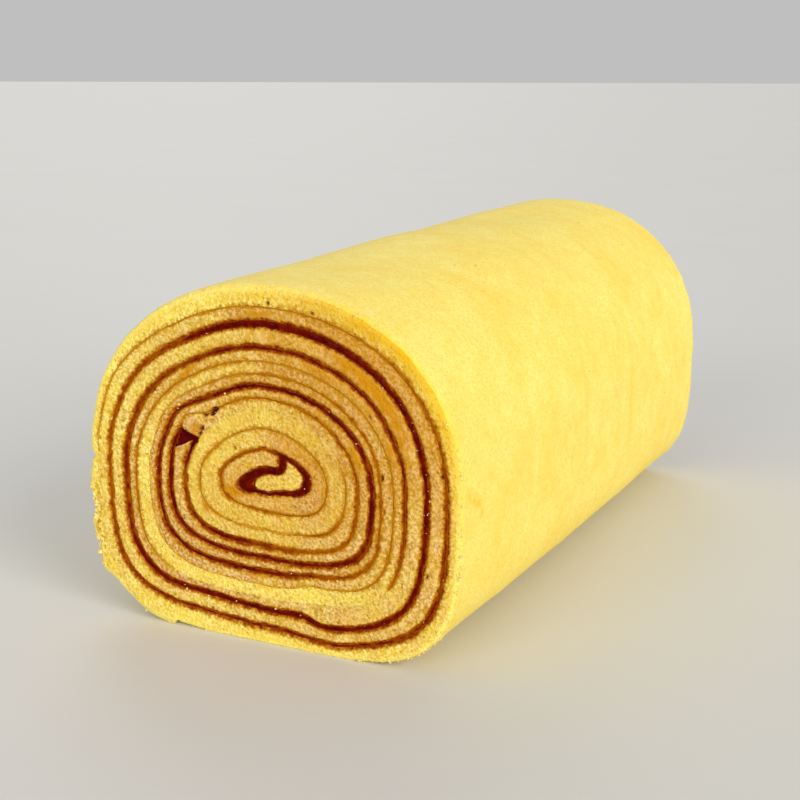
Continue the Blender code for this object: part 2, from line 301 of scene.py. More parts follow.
# ---------------------------------------------------------------- numbers
def ramp(x):
    """Smooth rise from 0 to 1."""
    x = np.clip(x, 0.0, 1.0)
    return x * x * (3.0 - 2.0 * x)


def bell(x, half):
    """Smooth fall from 1 in the middle towards 0 on both sides."""
    return np.exp(-(x / half) ** 2)


def wrapped(degrees):
    """An angle between -180 and 180 degrees."""
    return (degrees + 180.0) % 360.0 - 180.0


def scattered(cells, seed):
    """A fixed random number from 0 to 1 for each lattice cell, hashed from its whole numbers."""
    mask = np.uint64(0xFFFFFFFF)
    mixed = np.full(cells.shape[:-1], (seed * 2654435761 + 97) & 0xFFFFFFFF, dtype=np.uint64)
    for axis in range(cells.shape[-1]):
        mixed = mixed ^ (cells[..., axis].astype(np.int64).astype(np.uint64) & mask)
        for factor, shift in ((0x9E3779B1, 15), (0x85EBCA6B, 13)):
            mixed = (mixed * np.uint64(factor)) & mask
            mixed = mixed ^ (mixed >> np.uint64(shift))
    return mixed.astype(float) / 0xFFFFFFFF


def waves(points, size, seed):
    """Smooth noise from -1 to 1: random values on a lattice of one size, eased between corners."""
    scaled = points / size
    base = np.floor(scaled)
    part = ramp(scaled - base)
    base = base.astype(np.int64)
    total = np.zeros(points.shape[:-1])
    for corner in np.ndindex(*(2,) * points.shape[-1]):
        side = np.array(corner)
        weight = np.prod(np.where(side == 1, part, 1.0 - part), axis=-1)
        total += weight * scattered(base + side, seed)
    return 2.0 * total - 1.0


def uneven(points, *layers):
    """Sum of noises, each with its height, size and seed."""
    return sum(height * waves(points, size, seed) for height, size, seed in layers)


def pits(points, size, smallest, largest, seed):
    """Depth from 0 to 1 of round pits: one in each square of a grid, most of them small."""
    scaled = points / size
    base = np.floor(scaled).astype(np.int64)
    oval = 1.0 + 0.35 * waves(points, 0.4 * size, seed + 9)
    deepest = np.zeros(points.shape[:-1])
    for step in np.ndindex(3, 3):
        cell = base + np.array(step) - 1
        aside = np.stack([scattered(cell, seed), scattered(cell, seed + 1)], axis=-1)
        radius = smallest + (largest - smallest) * scattered(cell, seed + 2) ** 3
        away = np.linalg.norm(scaled - cell - aside, axis=-1) * size * oval / radius
        deepest = np.maximum(deepest, 1.0 - np.minimum(away, 1.0) ** 2)
    return deepest


def per_turn(values, turn):
    """Smooth curve through one value a turn: a cubic between each two, carried on straight at
    both ends."""
    first = 2.0 * values[0] - values[1]
    last = 2.0 * values[-1] - values[-2]
    v = np.asarray((first,) + tuple(values) + (last,))
    s = np.clip(turn, -0.99, len(values) - 1.0001)
    i = np.clip(np.floor(s).astype(int), 0, len(values) - 2)
    f = s - i
    a, b, c, d = v[i], v[i + 1], v[i + 2], v[i + 3]
    cubic = 3.0 * b - a - 3.0 * c + d
    square = 2.0 * a - 5.0 * b + 4.0 * c - d
    return 0.5 * (2.0 * b + (c - a) * f + square * f ** 2 + cubic * f ** 3)


def direction(turn):
    """The direction of a turn in degrees: 0 to the right, 90 up."""
    return 360.0 * np.asarray(turn, dtype=float) - 90.0


def reach(turn):
    """Distance of the winding line from its centre: a superellipse quadrant whose two half
    widths and squareness change with the turn, plus bell-shaped swellings and the step over
    the third sheet's cut end."""
    degrees = direction(turn)
    across = np.cos(np.radians(degrees))
    upward = np.sin(np.radians(degrees))
    wide = np.where(across >= 0, per_turn(RIGHT, turn - 0.25), per_turn(LEFT, turn - 0.75))
    tall = np.where(upward >= 0, per_turn(UP, turn - 0.5), per_turn(DOWN, turn))
    top_corner = np.where(across >= 0, 0, 1)
    low_corner = np.where(across < 0, 2, 3)
    square = np.asarray(SQUARE)[np.where(upward >= 0, top_corner, low_corner)]
    power = square[..., 0] + square[..., 1] * turn
    box = np.abs(across / wide) ** power + np.abs(upward / tall) ** power
    radius = box ** (-1.0 / power)
    for height, at, half, centre, turns in SWELLINGS:
        radius = radius + height * bell(wrapped(degrees - at), half) * bell(turn - centre, turns)
    step = ramp((turn - STEP_AT) / STEP_RISE)
    step = step * (1.0 - ramp((turn - STEP_AT - STEP_RISE) / STEP_FALL))
    return radius + STEP * step


def along_winding(table, turn):
    """A value read between the rows of a table of turns."""
    rows = np.asarray(table)
    return np.interp(turn, rows[:, 0], rows[:, 1])


def half_filling(turn):
    """Half the thickness of the filling, drawn out to nothing at the ends of each run."""
    share = np.zeros(np.shape(turn))
    for first, last in RUNS:
        inside = ramp((turn - first) / RUN_FADE) * ramp((last - turn) / RUN_FADE)
        share = np.maximum(share, inside)
    return 0.5 * along_winding(THICKNESS, turn) * share


def polar(radius, turn):
    """Points of the cut face from distance and turn."""
    angle = np.radians(direction(turn))
    return np.stack([radius * np.cos(angle), radius * np.sin(angle)], axis=-1)


def winding(turn):
    """Points of the winding line."""
    return polar(reach(turn), turn)


def ragged(line, end):
    """Uneven shift of a line of the cut face at one cut end."""
    return uneven(line, (0.03, 0.9, 40 + end), (0.10, 3.4, 42 + end))


def edge(turn, side, end):
    """Where sponge meets filling on the inner (-1) or outer (1) side of the winding line at one
    cut end: the line's reach, plus half the filling, plus ragged noise."""
    half = half_filling(turn)
    line = winding(turn)
    seed = 44 + 2 * end + (side > 0)
    crumbly = uneven(line, (1.0, 1.1, seed), (0.6, 0.6, seed + 4))
    return reach(turn) + side * half + ragged(line, end) + np.minimum(0.08, 0.3 * half) * crumbly


def fold(turn):
    """The filling's path through the fold in the core."""
    table = np.asarray(FOLD_PATH)
    s = np.interp(turn, table[:, 0], np.arange(len(table)))
    return np.stack([per_turn(tuple(table[:, k]), s) for k in (1, 2)], axis=-1)


def core_path(turn):
    """The winding line with the fold in the core before turn 0."""
    return np.where((turn < 0.0)[:, None], fold(turn), winding(turn))


def sideways(points):
    """Unit normals of a path, to its left, which is towards the winding centre."""
    ahead = np.gradient(points, axis=0)
    ahead = ahead / np.linalg.norm(ahead, axis=1)[:, None]
    return np.stack([-ahead[:, 1], ahead[:, 0]], axis=1)


def even_turns(first, last, spacing, line):
    """Turns spaced evenly along a line of the cut face, a multiple of four steps."""
    dense = np.linspace(first, last, int(500 * (last - first)) + 8)
    steps = np.linalg.norm(np.diff(line(dense), axis=0), axis=1)
    run = np.concatenate([[0.0], np.cumsum(steps)])
    count = 4 * max(1, round(run[-1] / spacing / 4))
    return np.interp(np.linspace(0.0, run[-1], count + 1), run, dense)


def place(points, distance):
    """Cut-face points taken to metres at a distance behind the front cut."""
    share = distance / LENGTH
    girth = 1.0 + FULLER * 4.0 * share * (1.0 - share)
    x = (CENTRE_X + points[..., 0]) * (1.0 - NARROWER * share) * girth
    z = (CENTRE_Z + points[..., 1]) * (1.0 + TALLER * share) * girth
    y = CAD_LOW.y / MM + distance
    return np.stack([x, y, np.maximum(z, 0.0)], axis=-1) * MM


# ---------------------------------------------------------------- marks and relief
def blobs(points, marks, steep=1):
    """Sum of oval marks given by angle, reach, half length, half width and strength."""
    total = np.zeros(points.shape[:-1])
    for at, distance, along, across, strength in marks:
        angle = math.radians(at)
        outward = np.array([math.cos(angle), math.sin(angle)])
        offset = points - distance * outward
        radial = offset @ outward
        sweep = offset @ np.array([-outward[1], outward[0]])
        total += strength * np.exp(-((sweep / along) ** 2 + (radial / across) ** 2) ** steep)
    return total


def pushed(points):
    """Cut-face points moved by the local pushes, each fading with distance."""
    moved = points
    for right, up, size, shift_right, shift_up in PUSHES:
        away = np.linalg.norm(points - np.array([right, up]), axis=-1)
        moved = moved + bell(away, size)[..., None] * np.array([shift_right, shift_up])
    return moved


def line_darkness(turn):
    """How dark the filling is at turns of the winding line, 0 where there is none."""
    return along_winding(DARKNESS, turn) * (half_filling(turn) > 0.05)


def strongly(dark):
    """From a thin line of filling, 0, to thick fruit paste, 1, by how dark it is."""
    return ramp((dark - 0.38) / 0.42)


def outermost(turn):
    """1 on the last turn of sponge, 0 on the turns below."""
    return ramp((turn - SKIN_START + 0.04) / 0.04)


def on_the_right(turn):
    """1 at the right of the roll, the lit side where the painted glow is strongest, fading to
    0 round to its left.
    """
    return bell(wrapped(direction(turn) - 42.0), 44.0)


def unlevel(points, end):
    """Slow waviness of a whole cut face."""
    return uneven(points, (0.12, 5.0, 122 + 50 * end), (0.20, 14.0, 123 + 50 * end))


def sponge_relief(points, near, far, turn, beyond, end, sizes):
    """How far the cut sponge lies behind the knife's plane: an edge that is rounded beside
    thick filling, open pores, a fine grain, a slow waviness and, at the front, the large
    holes.  On the last turn it is calmer and has fewer pores.  Returns depth and the mask of
    pores and holes where shade is painted."""
    seed = 100 + 50 * end
    dark_beyond = np.where(beyond > OUTER_END, 1.0, line_darkness(beyond))
    groove = (strongly(line_darkness(turn)) * bell(near, 0.36)
              + strongly(dark_beyond) * bell(far, 0.36))
    calm = outermost(turn)
    grain = uneven(points, (0.035, 0.75, seed + 20), (0.08, 1.7, seed + 21))
    frayed = np.stack([waves(points, 0.7, seed + 30), waves(points, 0.7, seed + 31)], axis=-1)
    hole = blobs(points + 0.22 * frayed, HOLES if end == FRONT else BACK_HOLES, 2)
    open_pores = pits(points, sizes.pore_spacing, 0.12, sizes.pore_radius, seed)
    open_pores = open_pores * (1.0 - 0.5 * calm)
    fine_pores = pits(points, 1.1, 0.10, 0.34, seed + 10) * (1.0 - 0.7 * calm)
    depth = 0.34 * groove + 0.30 * open_pores + 0.09 * fine_pores - 0.12 + hole
    depth = depth + grain * (1.0 - 0.4 * calm) + unlevel(points, end)
    # Mask of painted shade in the pores and holes.
    return depth, np.clip(0.45 * open_pores + 0.20 * fine_pores + 1.5 * hole, 0.0, 1.0)


def filling_relief(points, side, end, strong):
    """How far the cut filling lies behind the knife's plane: level with the sponge where it is
    thin; where it is strong it is lumpy, lower at its edges and proud of them in the middle."""
    seed = 300 + 50 * end
    lumps = uneven(points, (0.15, 0.7, seed), (0.12, 1.9, seed + 1))
    proud = 0.22 * (1.0 - bell(side, 0.35))
    hollow = blobs(points, HOLES, 2) + blobs(points, HOLLOWS) if end == FRONT else 0.0
    level = unlevel(points, end) - 0.08
    return level + hollow + 0.2 * lumps + strong * (0.32 + 0.8 * lumps - proud)


def creased(points):
    """Creases of the right flank, from 0 to 1: oval spots of the skin running into each other."""
    total = 0.0
    for distance, height, along, tall, strength in CREASES:
        spot = bell(points[..., 1] - distance, along) * bell(points[..., 2] - height, tall)
        total = total + strength * spot * (points[..., 0] > 0.0)
    return total


def skin_relief(points):
    """Height of the skin's unevenness at points in millimetres: three sizes of noise, fine
    ripples round the far half, the creases of the right flank and the dents of the top."""
    lift = uneven(points, (0.34, 36.0, 500), (0.15, 12.0, 501), (0.045, 3.4, 502))
    behind = points[..., 1]
    ripple = np.sin(behind * 1.15 + 2.0 * waves(points, 22.0, 503))
    lift += 0.05 * ripple * ramp((behind - 60.0) / 60.0)
    lift += 0.18 * creased(points)
    for distance, right, along, wide, drop in DENTS:
        dent = bell(behind - distance, along) * bell(points[..., 0] - right, wide)
        lift -= drop * dent * (points[..., 2] > 50.0)
    return lift


def torn(turn, distance):
    """Height and mask of the torn skin at the left of the front cut."""
    degrees = direction(turn) % 360.0
    height = np.zeros(np.broadcast(turn, distance).shape)
    for at, half, rise in TEARS:
        height = height + rise * bell(degrees - at, half)
    patch = np.stack(np.broadcast_arrays(degrees, distance * 1.0), axis=-1)
    frayed = waves(patch, 5.0, 820)
    spread = ramp((degrees - 175.0 + 4.0 * frayed) / 6.0)
    spread = spread * (1.0 - ramp((degrees - 213.0 + 3.0 * frayed) / 4.0))
    fade = 1.0 - ramp(distance / TORN_DEPTH * (1.0 + 0.5 * frayed))
    return height * (1.0 - ramp(distance / 9.0)), spread * fade


def browning(near, far, inner_turn, outer_turn):
    """Browning of a sheet from 0 to 1: wide beside dark filling, narrow and weaker beside a
    faint line, and a loose band at the left of the last turn."""
    last = outermost(inner_turn)
    dark_in = line_darkness(inner_turn)
    dark_out = line_darkness(outer_turn)
    soaked = 0.68 + 0.06 * ramp((dark_in - 0.55) / 0.35) + 0.15 * last
    reached = 0.64 - 0.12 * ramp((dark_out - 0.55) / 0.35)
    brown = 0.0
    for dark, distance, wide in ((dark_in, near, soaked), (dark_out, far, reached)):
        brown = np.maximum(brown, np.minimum(1.35 * dark, 1.0) * bell(distance, wide))
        faint = 0.5 * ramp(dark / 0.2) * (1.0 - ramp((dark - 0.4) / 0.3))
        brown = np.maximum(brown, faint * bell(distance, 0.34))
    left = last * bell(direction(inner_turn) % 360.0 - 196.0, 17.0)
    return np.maximum(brown, 0.42 * left * bell(far - 1.5, 0.8))


def sheet_looks(points, inner_turn, outer_turn, share, thick, end):
    """Masks of the cut sponge from its place between two winding lines: brown beside the
    filling, amber where fruit soaked in and broadly towards the upper right, moist, a painted
    glow of light through the thin sponge beneath the skin, strongest at the lit right, and
    rind beneath it elsewhere."""
    far = (1.0 - share) * thick
    last = outermost(inner_turn)
    right = on_the_right(inner_turn)
    degrees = direction(inner_turn) % 360.0
    soft = 0.95 + uneven(points, (0.30, 1.1, 610 + end), (0.22, 0.5, 611 + end))
    moist = along_winding(MOIST, inner_turn) + 0.18 * waves(points, 3.0, 612 + end)
    moist = np.clip(moist, 0.0, 1.0)
    amber = blobs(points, STAINS if end == FRONT else BACK_STAINS)
    amber = amber * (0.8 + 0.5 * waves(points, 1.6, 620 + end))
    # Broadly more amber towards the upper right of the face, most where moist.
    amber = amber + 0.32 * bell(wrapped(degrees - 38.0), 50.0) * moist
    amber = amber + 0.16 * bell(degrees - 62.0, 30.0) * ramp((inner_turn - 4.0) / 3.0)
    amber = amber + 0.17 * (1.0 - ramp((inner_turn - 1.6) / 1.2))
    # Painted glow: light shining through the thin sponge under the skin, strongest at the lit
    # right.
    golden = last * (0.12 + 0.88 * right) * bell(far, 1.6 + 1.1 * right)
    golden = np.clip(golden * (0.9 + 0.25 * waves(points, 2.0, 630 + end)), 0.0, 1.0)
    brown = browning(share * thick, far, inner_turn, outer_turn)
    return {
        "brown": np.clip(brown * soft, 0.0, 1.0),
        "amber": np.clip(amber, 0.0, 1.0),
        "moist": moist * (1.0 - 0.8 * golden),
        "golden": golden,
        "rind": last * (1.0 - right) * bell(far, 0.75),
    }


# ---------------------------------------------------------------- mesh building
class Body:
    """Points, faces and masks of one closed piece, gathered before they go into a mesh."""

    # The glow mask is a painted glow of light through thin sponge and a tint in the skin's
    # creases; the pore mask is painted shade in the pores and holes.
    MASKS = ("brown", "amber", "moist", "golden", "pore", "rind", "torn", "dark")

    def __init__(self):
        self.points = []
        self.masks = {name: [] for name in self.MASKS}
        self.faces = []
        self.count = 0

    def add(self, points, **masks):
        """Adds an array of points and returns the array of their numbers."""
        shape = points.shape[:-1]
        numbers = self.count + np.arange(int(np.prod(shape))).reshape(shape)
        self.points.append(points.reshape(-1, 3))
        for name in self.MASKS:
            values = np.broadcast_to(masks.get(name, 0.0), shape)
            self.masks[name].append(values.reshape(-1))
        self.count += numbers.size
        return numbers

    def join(self, corners, material=CUT):
        """Adds faces whose corners are arrays of point numbers, one array for each corner."""
        self.faces.append((np.stack([np.ravel(c) for c in corners], axis=1), material))

    def grid(self, numbers, material=CUT):
        """Quads over a grid of point numbers, facing away from the first axis towards the
        second."""
        corners = (numbers[:-1, :-1], numbers[1:, :-1], numbers[1:, 1:], numbers[:-1, 1:])
        self.join(corners, material)

    def wall(self, one, two, material=CUT):
        """Quads between two rows of point numbers that are equally fine."""
        self.grid(np.stack([one, two]), material)

    def polygon(self, parts, material=CUT):
        """One face round the point numbers of several rows."""
        self.faces.append((np.concatenate(parts).reshape(1, -1), material))

    def seam(self, one, two, material=CUT):
        """Faces between two rows that are equally fine, or one of them twice as fine, where
        three triangles fill each step of the coarse row."""
        if len(one) == len(two):
            self.wall(one, two, material)
            return
        fine, coarse = (one, two) if len(one) > len(two) else (two, one)
        a, b, c = fine[:-2:2], fine[1::2], fine[2::2]
        here, there = coarse[:-1], coarse[1:]
        for corners in ((a, here, b), (b, here, there), (b, there, c)):
            self.join(corners if fine is one else corners[::-1], material)

    def finish(self, name, node, slot, materials):
        """Makes the object, rides it on the body and lets it stand for its solid."""
        mesh = bpy.data.meshes.new(name)
        corners = np.concatenate([faces.ravel() for faces, _ in self.faces])
        totals = np.concatenate([np.full(len(f), f.shape[1]) for f, _ in self.faces])
        kinds = np.concatenate([np.full(len(f), kind) for f, kind in self.faces])
        starts = np.concatenate([[0], np.cumsum(totals)[:-1]])
        mesh.vertices.add(self.count)
        mesh.vertices.foreach_set("co", np.concatenate(self.points).ravel())
        mesh.loops.add(len(corners))
        mesh.loops.foreach_set("vertex_index", corners.astype(np.int32))
        mesh.polygons.add(len(totals))
        mesh.polygons.foreach_set("loop_start", starts.astype(np.int32))
        for mask, parts in self.masks.items():
            values = np.concatenate(parts)
            if values.any():
                attribute = mesh.attributes.new(mask, "FLOAT", "POINT")
                attribute.data.foreach_set("value", values.astype(np.float32))
        piece = shown(name, mesh, materials)
        mesh.polygons.foreach_set("material_index", kinds.astype(np.int32))
        mesh.update(calc_edges=True)
        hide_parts(node)


def shown(name, mesh, materials):
    """Puts a mesh into the scene, shaded smooth, as a piece that rides on the roll."""
    for made in materials:
        mesh.materials.append(made)
    mesh.polygons.foreach_set("use_smooth", np.ones(len(mesh.polygons), dtype=bool))
    piece = bpy.data.objects.new(name, mesh)
    bpy.context.scene.collection.objects.link(piece)
    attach(piece, "root")
    return piece


def spread_rows(count):
    """Places from 0 to 1 across a layer, a little closer together at its edges."""
    even = np.linspace(0.0, 1.0, count)
    return even + 0.06 * np.sin(-2.0 * math.pi * even)


def cap(body, near, far, rows, end, face):
    """A cut end: a grid between two lines of the face, set back by the depth that the face
    function gives with its masks.  Returns the point numbers and the depth of each."""
    share = spread_rows(rows)[:, None]
    points = near[None] + (far - near)[None] * share[..., None]
    thick = np.linalg.norm(far - near, axis=-1)[None]
    depth, masks = face(points, share, thick, end)
    distance = depth if end == FRONT else LENGTH - depth
    numbers = body.add(place(pushed(points), distance), **masks)
    body.grid(numbers if end == FRONT else numbers[:, ::-1])
    return numbers, depth


def strip(near_lines, far_lines, rows, face):
    """A closed layer between two lines, which may differ a little from one cut end to the
    other: two caps and four plain walls."""
    body = Body()
    front, back = (cap(body, near_lines[end], far_lines[end], rows, end, face)[0]
                   for end in (FRONT, BACK))
    body.wall(front[-1], back[-1])
    body.wall(back[0], front[0])
    body.wall(front[:, 0], back[:, 0])
    body.wall(back[:, -1], front[:, -1])
    return body


def sponge_face(sizes, turn, beyond):
    """The face function of cut sponge between the winding line at these turns and beyond."""

    def face(points, share, thick, end):
        depth, pore = sponge_relief(
            points, share * thick, (1.0 - share) * thick, turn[None], beyond[None], end, sizes)
        looks = sheet_looks(points, turn[None], beyond[None], share, thick, end)
        return depth, {"pore": pore, **looks}

    return face


def filling_face(turn):
    """The face function of a filling along these turns of the winding: its darkness falls
    towards its edges, where sponge browns it, and varies from place to place."""
    dark_line = along_winding(DARKNESS, turn)[None]

    def face(points, share, thick, end):
        side = np.minimum(share, 1.0 - share) * thick
        dark = dark_line * (1.0 - 0.28 * (2.0 * share - 1.0) ** 2)
        dark = dark * (1.0 + uneven(points, (0.14, 1.4, 700 + end), (0.10, 0.6, 702)))
        masks = {"dark": np.clip(dark, 0.0, 1.0), "brown": bell(side, 0.20)}
        return filling_relief(points, side, end, strongly(dark_line)), masks

    return face


# ---------------------------------------------------------------- the sheets and fillings
LAP = 0.03                              # how far sponge reaches under the filling's edge
ROUNDING = 0.45                         # how much the skin turns in at the cut edge


def tail(turn):
    """Outer face of the second sheet's tail, which the third sheet lies on."""
    done = np.clip((turn - OUTER_START) / (MIDDLE_END - OUTER_START), 0.0, 1.0)
    return reach(turn) + THIN + (TAIL - THIN) * (1.0 - done)


def inner_edge(turn, end):
    """Reach of the inner face of the sheet just outside the winding line."""
    return edge(turn, 1, end) - LAP


def outer_edge(turn, end):
    """Reach of the outer face of the sheet just inside the winding line."""
    return edge(turn, -1, end) + LAP


def sheet_middle(turn):
    """Points half way between the winding line and its next turn."""
    return polar(0.5 * (reach(turn) + reach(turn + 1.0)), turn)


def core_lines(turn, end):
    """The filling's two edges through the fold and on round the first sheet: its path, moved
    aside by its thickness, most of it outward in the tight fold, plus ragged noise."""
    path = core_path(turn)
    side = sideways(path)
    share = ramp((turn - FOLD_START + 0.01) / 0.03) * ramp((RUNS[0][1] - turn) / RUN_FADE)
    share = np.maximum(share, 0.08)
    full = along_winding(THICKNESS, turn)
    inward = np.where(turn < 0.0, np.minimum(0.5 * full, FOLD_INSIDE), 0.5 * full)
    lines = []
    for k, wide in enumerate((inward * share, (full - inward) * share)):
        crumbly = np.minimum(0.11, 0.4 * wide) * waves(path, 1.1, 44 + 2 * end + k)
        outward = 2 * k - 1
        lines.append(path - side * (outward * wide + ragged(path, end) + crumbly)[:, None])
    return lines


def tip_piece(sizes):
    """The tip of the first sheet, closed in by the fold."""
    dense = np.linspace(FOLD_START, 0.5, 600)
    edges = [core_lines(dense, end)[0] for end in (FRONT, BACK)]
    in_core = np.full(40, 0.1)
    plain = sponge_face(sizes, in_core, in_core)

    def stretch(first, last):
        turn = np.linspace(first, last, len(in_core))
        return [np.stack([np.interp(turn, dense, line[:, k]) for k in (0, 1)], axis=1)
                for line in edges]

    def face(points, share, thick, end):
        depth, masks = plain(points, share, thick, end)
        rim = np.minimum(share, 1.0 - share) * thick
        return depth, {"pore": masks["pore"], "brown": np.exp(-rim / 0.3), "moist": 0.45}

    return strip(stretch(*TIP_ABOVE), stretch(*TIP_BELOW), 12, face)


def inner_sheet(sizes):
    """The first sheet, from the fold in the core to its curled end."""
    turn = even_turns(FOLD_START + 0.02, INNER_END, sizes.grain_spacing, sheet_middle)
    near = []
    far = []
    for end in (FRONT, BACK):
        beside = core_lines(turn, end)[1]
        near.append(np.where((turn < 0.0)[:, None], beside, polar(inner_edge(turn, end), turn)))
        far.append(polar(outer_edge(turn + 1.0, end), turn))
    return strip(near, far, 14, sponge_face(sizes, turn, turn + 1.0))


def middle_sheet(sizes):
    """The second sheet, from the pocket to its tail under the third."""
    turn = even_turns(MIDDLE_START, MIDDLE_END, sizes.grain_spacing, sheet_middle)
    ahead = turn + LEAN * (1.0 - ramp((turn - turn[0]) / 0.045))
    under = turn > OUTER_START
    near = []
    far = []
    for end in (FRONT, BACK):
        outer = outer_edge(ahead + 1.0, end)
        outer = np.where(under, np.minimum(outer, tail(turn)), outer)
        near.append(polar(inner_edge(turn, end), turn))
        far.append(polar(outer, ahead))
    return strip(near, far, 11, sponge_face(sizes, turn, np.where(under, OUTER_START, turn + 1.0)))


def skin_plan(spacing):
    """Distances of the skin's rows behind the front cut, each with how coarse the row is."""
    rim = [(d, 1) for d in (0.25, 0.6, 1.0, 1.5)]
    rim += [(d, 2) for d in (2.1, 2.8, 3.6, 4.5, 5.5, 6.7, 8.0)]
    first = 9.3
    count = int((LENGTH - 2.0 * first) / spacing)
    flank = [(d, 4) for d in np.linspace(first, LENGTH - first, count)]
    return rim + flank + [(LENGTH - d, coarse) for d, coarse in reversed(rim)]


def from_cuts(front, back, distance, fade):
    """What the two cut ends add at a distance behind the front cut, fading away from each."""
    return front * math.exp(-distance / fade) + back * math.exp(-(LENGTH - distance) / fade)


def skin_row(body, line, shift, turn, outward, distance, at):
    """One row of skin: a line of the cut face at its distances behind the cut, moved outward
    by its unevenness and the tears, and turned in where the roll was cut."""
    from_back = LENGTH - distance
    solid = place(line, at) / MM
    rough, mask = torn(turn, at)
    deep = np.stack([solid[:, 0], at, solid[:, 2]], axis=1)
    lift = skin_relief(deep) * min(1.0, distance / 3.0, from_back / 3.0) * ramp(solid[:, 2] / 4.0)
    lift = lift + mask * uneven(deep, (0.30, 1.3, 810), (0.30, 3.0, 811))
    lift = lift + rough * (1.0 - math.exp(-distance / 3.0))
    lift = lift - ROUNDING * bell(min(distance, from_back), 0.7)
    spread = line + shift + outward * lift[:, None]
    # Painted glow of light at the right of the cut edge, and a deeper golden tint in the creases.
    glow_and_creases = 0.8 * on_the_right(turn) * bell(at, 1.3) + 1.5 * creased(deep)
    return body.add(place(spread, at), torn=mask, golden=glow_and_creases)


def skin_line(turn):
    """Points of the line one turn outside the winding line, where the skin lies."""
    return winding(turn + 1.0)


def outer_sheet(sizes):
    """The third sheet: covered by itself at first, then the skin of the whole roll.  Its skin
    is a grid of stations by distances behind the cut, finest at the two cut edges."""
    spacing = sizes.grain_spacing * 1.05
    covered = even_turns(OUTER_START, SKIN_START, spacing, skin_line)
    bare = even_turns(SKIN_START, OUTER_END, spacing, skin_line)
    turn = np.concatenate([covered[:-1], bare])
    first = len(covered) - 1
    outward = -sideways(skin_line(turn))[first:]
    base = skin_line(bare)
    body = Body()

    # The cut ends, with a chipped rim that is torn at the front.
    face = sponge_face(sizes, turn, turn + 1.0)
    near = []
    caps = []
    shifts = []
    for end in (FRONT, BACK):
        inner = inner_edge(turn, end)
        inner = np.where(turn < MIDDLE_END, np.maximum(inner, tail(turn)), inner)
        chipped = uneven(base, (0.10, 0.8, 800 + end), (0.12, 2.4, 802 + end))
        if end == FRONT:
            chipped = chipped + torn(bare, np.zeros(len(bare)))[0]
        shifts.append(outward * chipped[:, None])
        rim = base + shifts[end] - outward * ROUNDING
        near.append(polar(inner, turn))
        far = np.concatenate([polar(outer_edge(turn + 1.0, end), turn)[:first], rim])
        caps.append(cap(body, near[end], far, 14, end, face))
    (front, front_depth), (back, back_depth) = caps

    # The skin's rows, whose chips and relief fade with the distance from each cut.
    plan = skin_plan(sizes.skin_spacing)
    rows = []
    for distance, coarse in plan:
        picked = slice(None, None, coarse)
        shift = from_cuts(shifts[FRONT][picked], shifts[BACK][picked], distance, 3.0)
        depths = [depth[-1, first:][picked] for depth in (front_depth, -back_depth)]
        at = distance + from_cuts(*depths, distance, 1.6)
        rows.append(skin_row(
            body, base[picked], shift, bare[picked], outward[picked], distance, at))
    full = [front[-1, first:]] + rows + [back[-1, first:]]
    for one, two in zip(full[:-1], full[1:]):
        body.seam(one, two, SKIN)

    # The sheet's outer edge, a wall as deep as the sheet is thick there.
    lowest = [place(near[FRONT][-1], d + 0.4 * math.exp(-d / 1.6)) for d, _ in plan]
    # The foot takes a little of the painted glow.
    foot = body.add(np.array(lowest), golden=0.3)
    lip = np.array([row[-1] for row in rows])
    body.wall(lip[::-1], foot[::-1], SKIN)
    body.polygon([front[:, -1], [lip[0], foot[0]]], SKIN)
    body.polygon([[foot[-1], lip[-1]], back[::-1, -1]], SKIN)

    # Hidden walls: under the later turns, along the sheet's inner face and at its cut end.
    starts = np.array([row[0] for row in rows])
    body.wall(front[-1, :first], back[-1, :first])
    body.polygon([[front[-1, first - 1], back[-1, first - 1], back[-1, first]], starts[::-1],
                  [front[-1, first]]])
    body.wall(back[0, :-1], front[0, :-1])
    body.polygon([front[0, -2:], foot, back[0, :-3:-1]])
    body.wall(front[:, 0], back[:, 0])
    return body


def core_filling(sizes):
    """The filling in the fold of the core and on round the first sheet."""
    turn = even_turns(FOLD_START, RUNS[0][1], sizes.filling_spacing, core_path)
    near, far = zip(*(core_lines(turn, end) for end in (FRONT, BACK)))
    return strip(near, far, 8, filling_face(turn))


def winding_filling(sizes, first, last, pocket=False):
    """A run of filling on the winding line, with or without the pocket at its start, where it
    swells until it meets the next turn of sponge."""
    turn = even_turns(first, last, sizes.filling_spacing, winding)
    ahead = turn
    if pocket:
        close = first + (POCKET[1] + 0.004 - first) * np.linspace(0.0, 1.0, 21)
        turn = np.concatenate([close, turn[turn > close[-1] + 0.0015]])
        inside = 1.0 - ramp((turn - POCKET[1]) / 0.0012)
        ahead = turn + LEAN * inside * np.clip((turn - first) / (POCKET[1] - first), 0.0, 1.0)
    near = []
    far = []
    for end in (FRONT, BACK):
        inner = edge(turn, -1, end)
        outer = edge(turn, 1, end)
        if pocket:
            squeezed = edge(ahead + 1.0, -1, end) + 0.1
            inner = np.where(turn < POCKET[1], reach(turn) - 0.35, inner)
            outer = outer + (squeezed - outer) * inside
        near.append(polar(inner, turn))
        far.append(polar(np.maximum(outer, inner + 0.04), ahead))
    return strip(near, far, 6, filling_face(turn))


# ---------------------------------------------------------------- small things
def ball_template():
    """A rough ball of 26 corners and 24 quads: the corners of a cube cut into eight, pushed
    out to one distance."""
    corners = np.array([c for c in np.ndindex(3, 3, 3) if c != (1, 1, 1)]) - 1
    index = {tuple(c): i for i, c in enumerate(corners)}
    faces = []
    for axis in range(3):
        for sign in (-1, 1):
            for a, b in np.ndindex(2, 2):
                ring = ((a, b), (a + 1, b), (a + 1, b + 1), (a, b + 1))
                quad = [tuple(np.insert(np.array(r) - 1, axis, sign)) for r in ring]
                turned = sign < 0 if axis != 1 else sign > 0
                quad = quad[::-1] if turned else quad
                faces.append([index[corner] for corner in quad])
    points = corners / np.linalg.norm(corners, axis=1)[:, None]
    return points, np.array(faces)


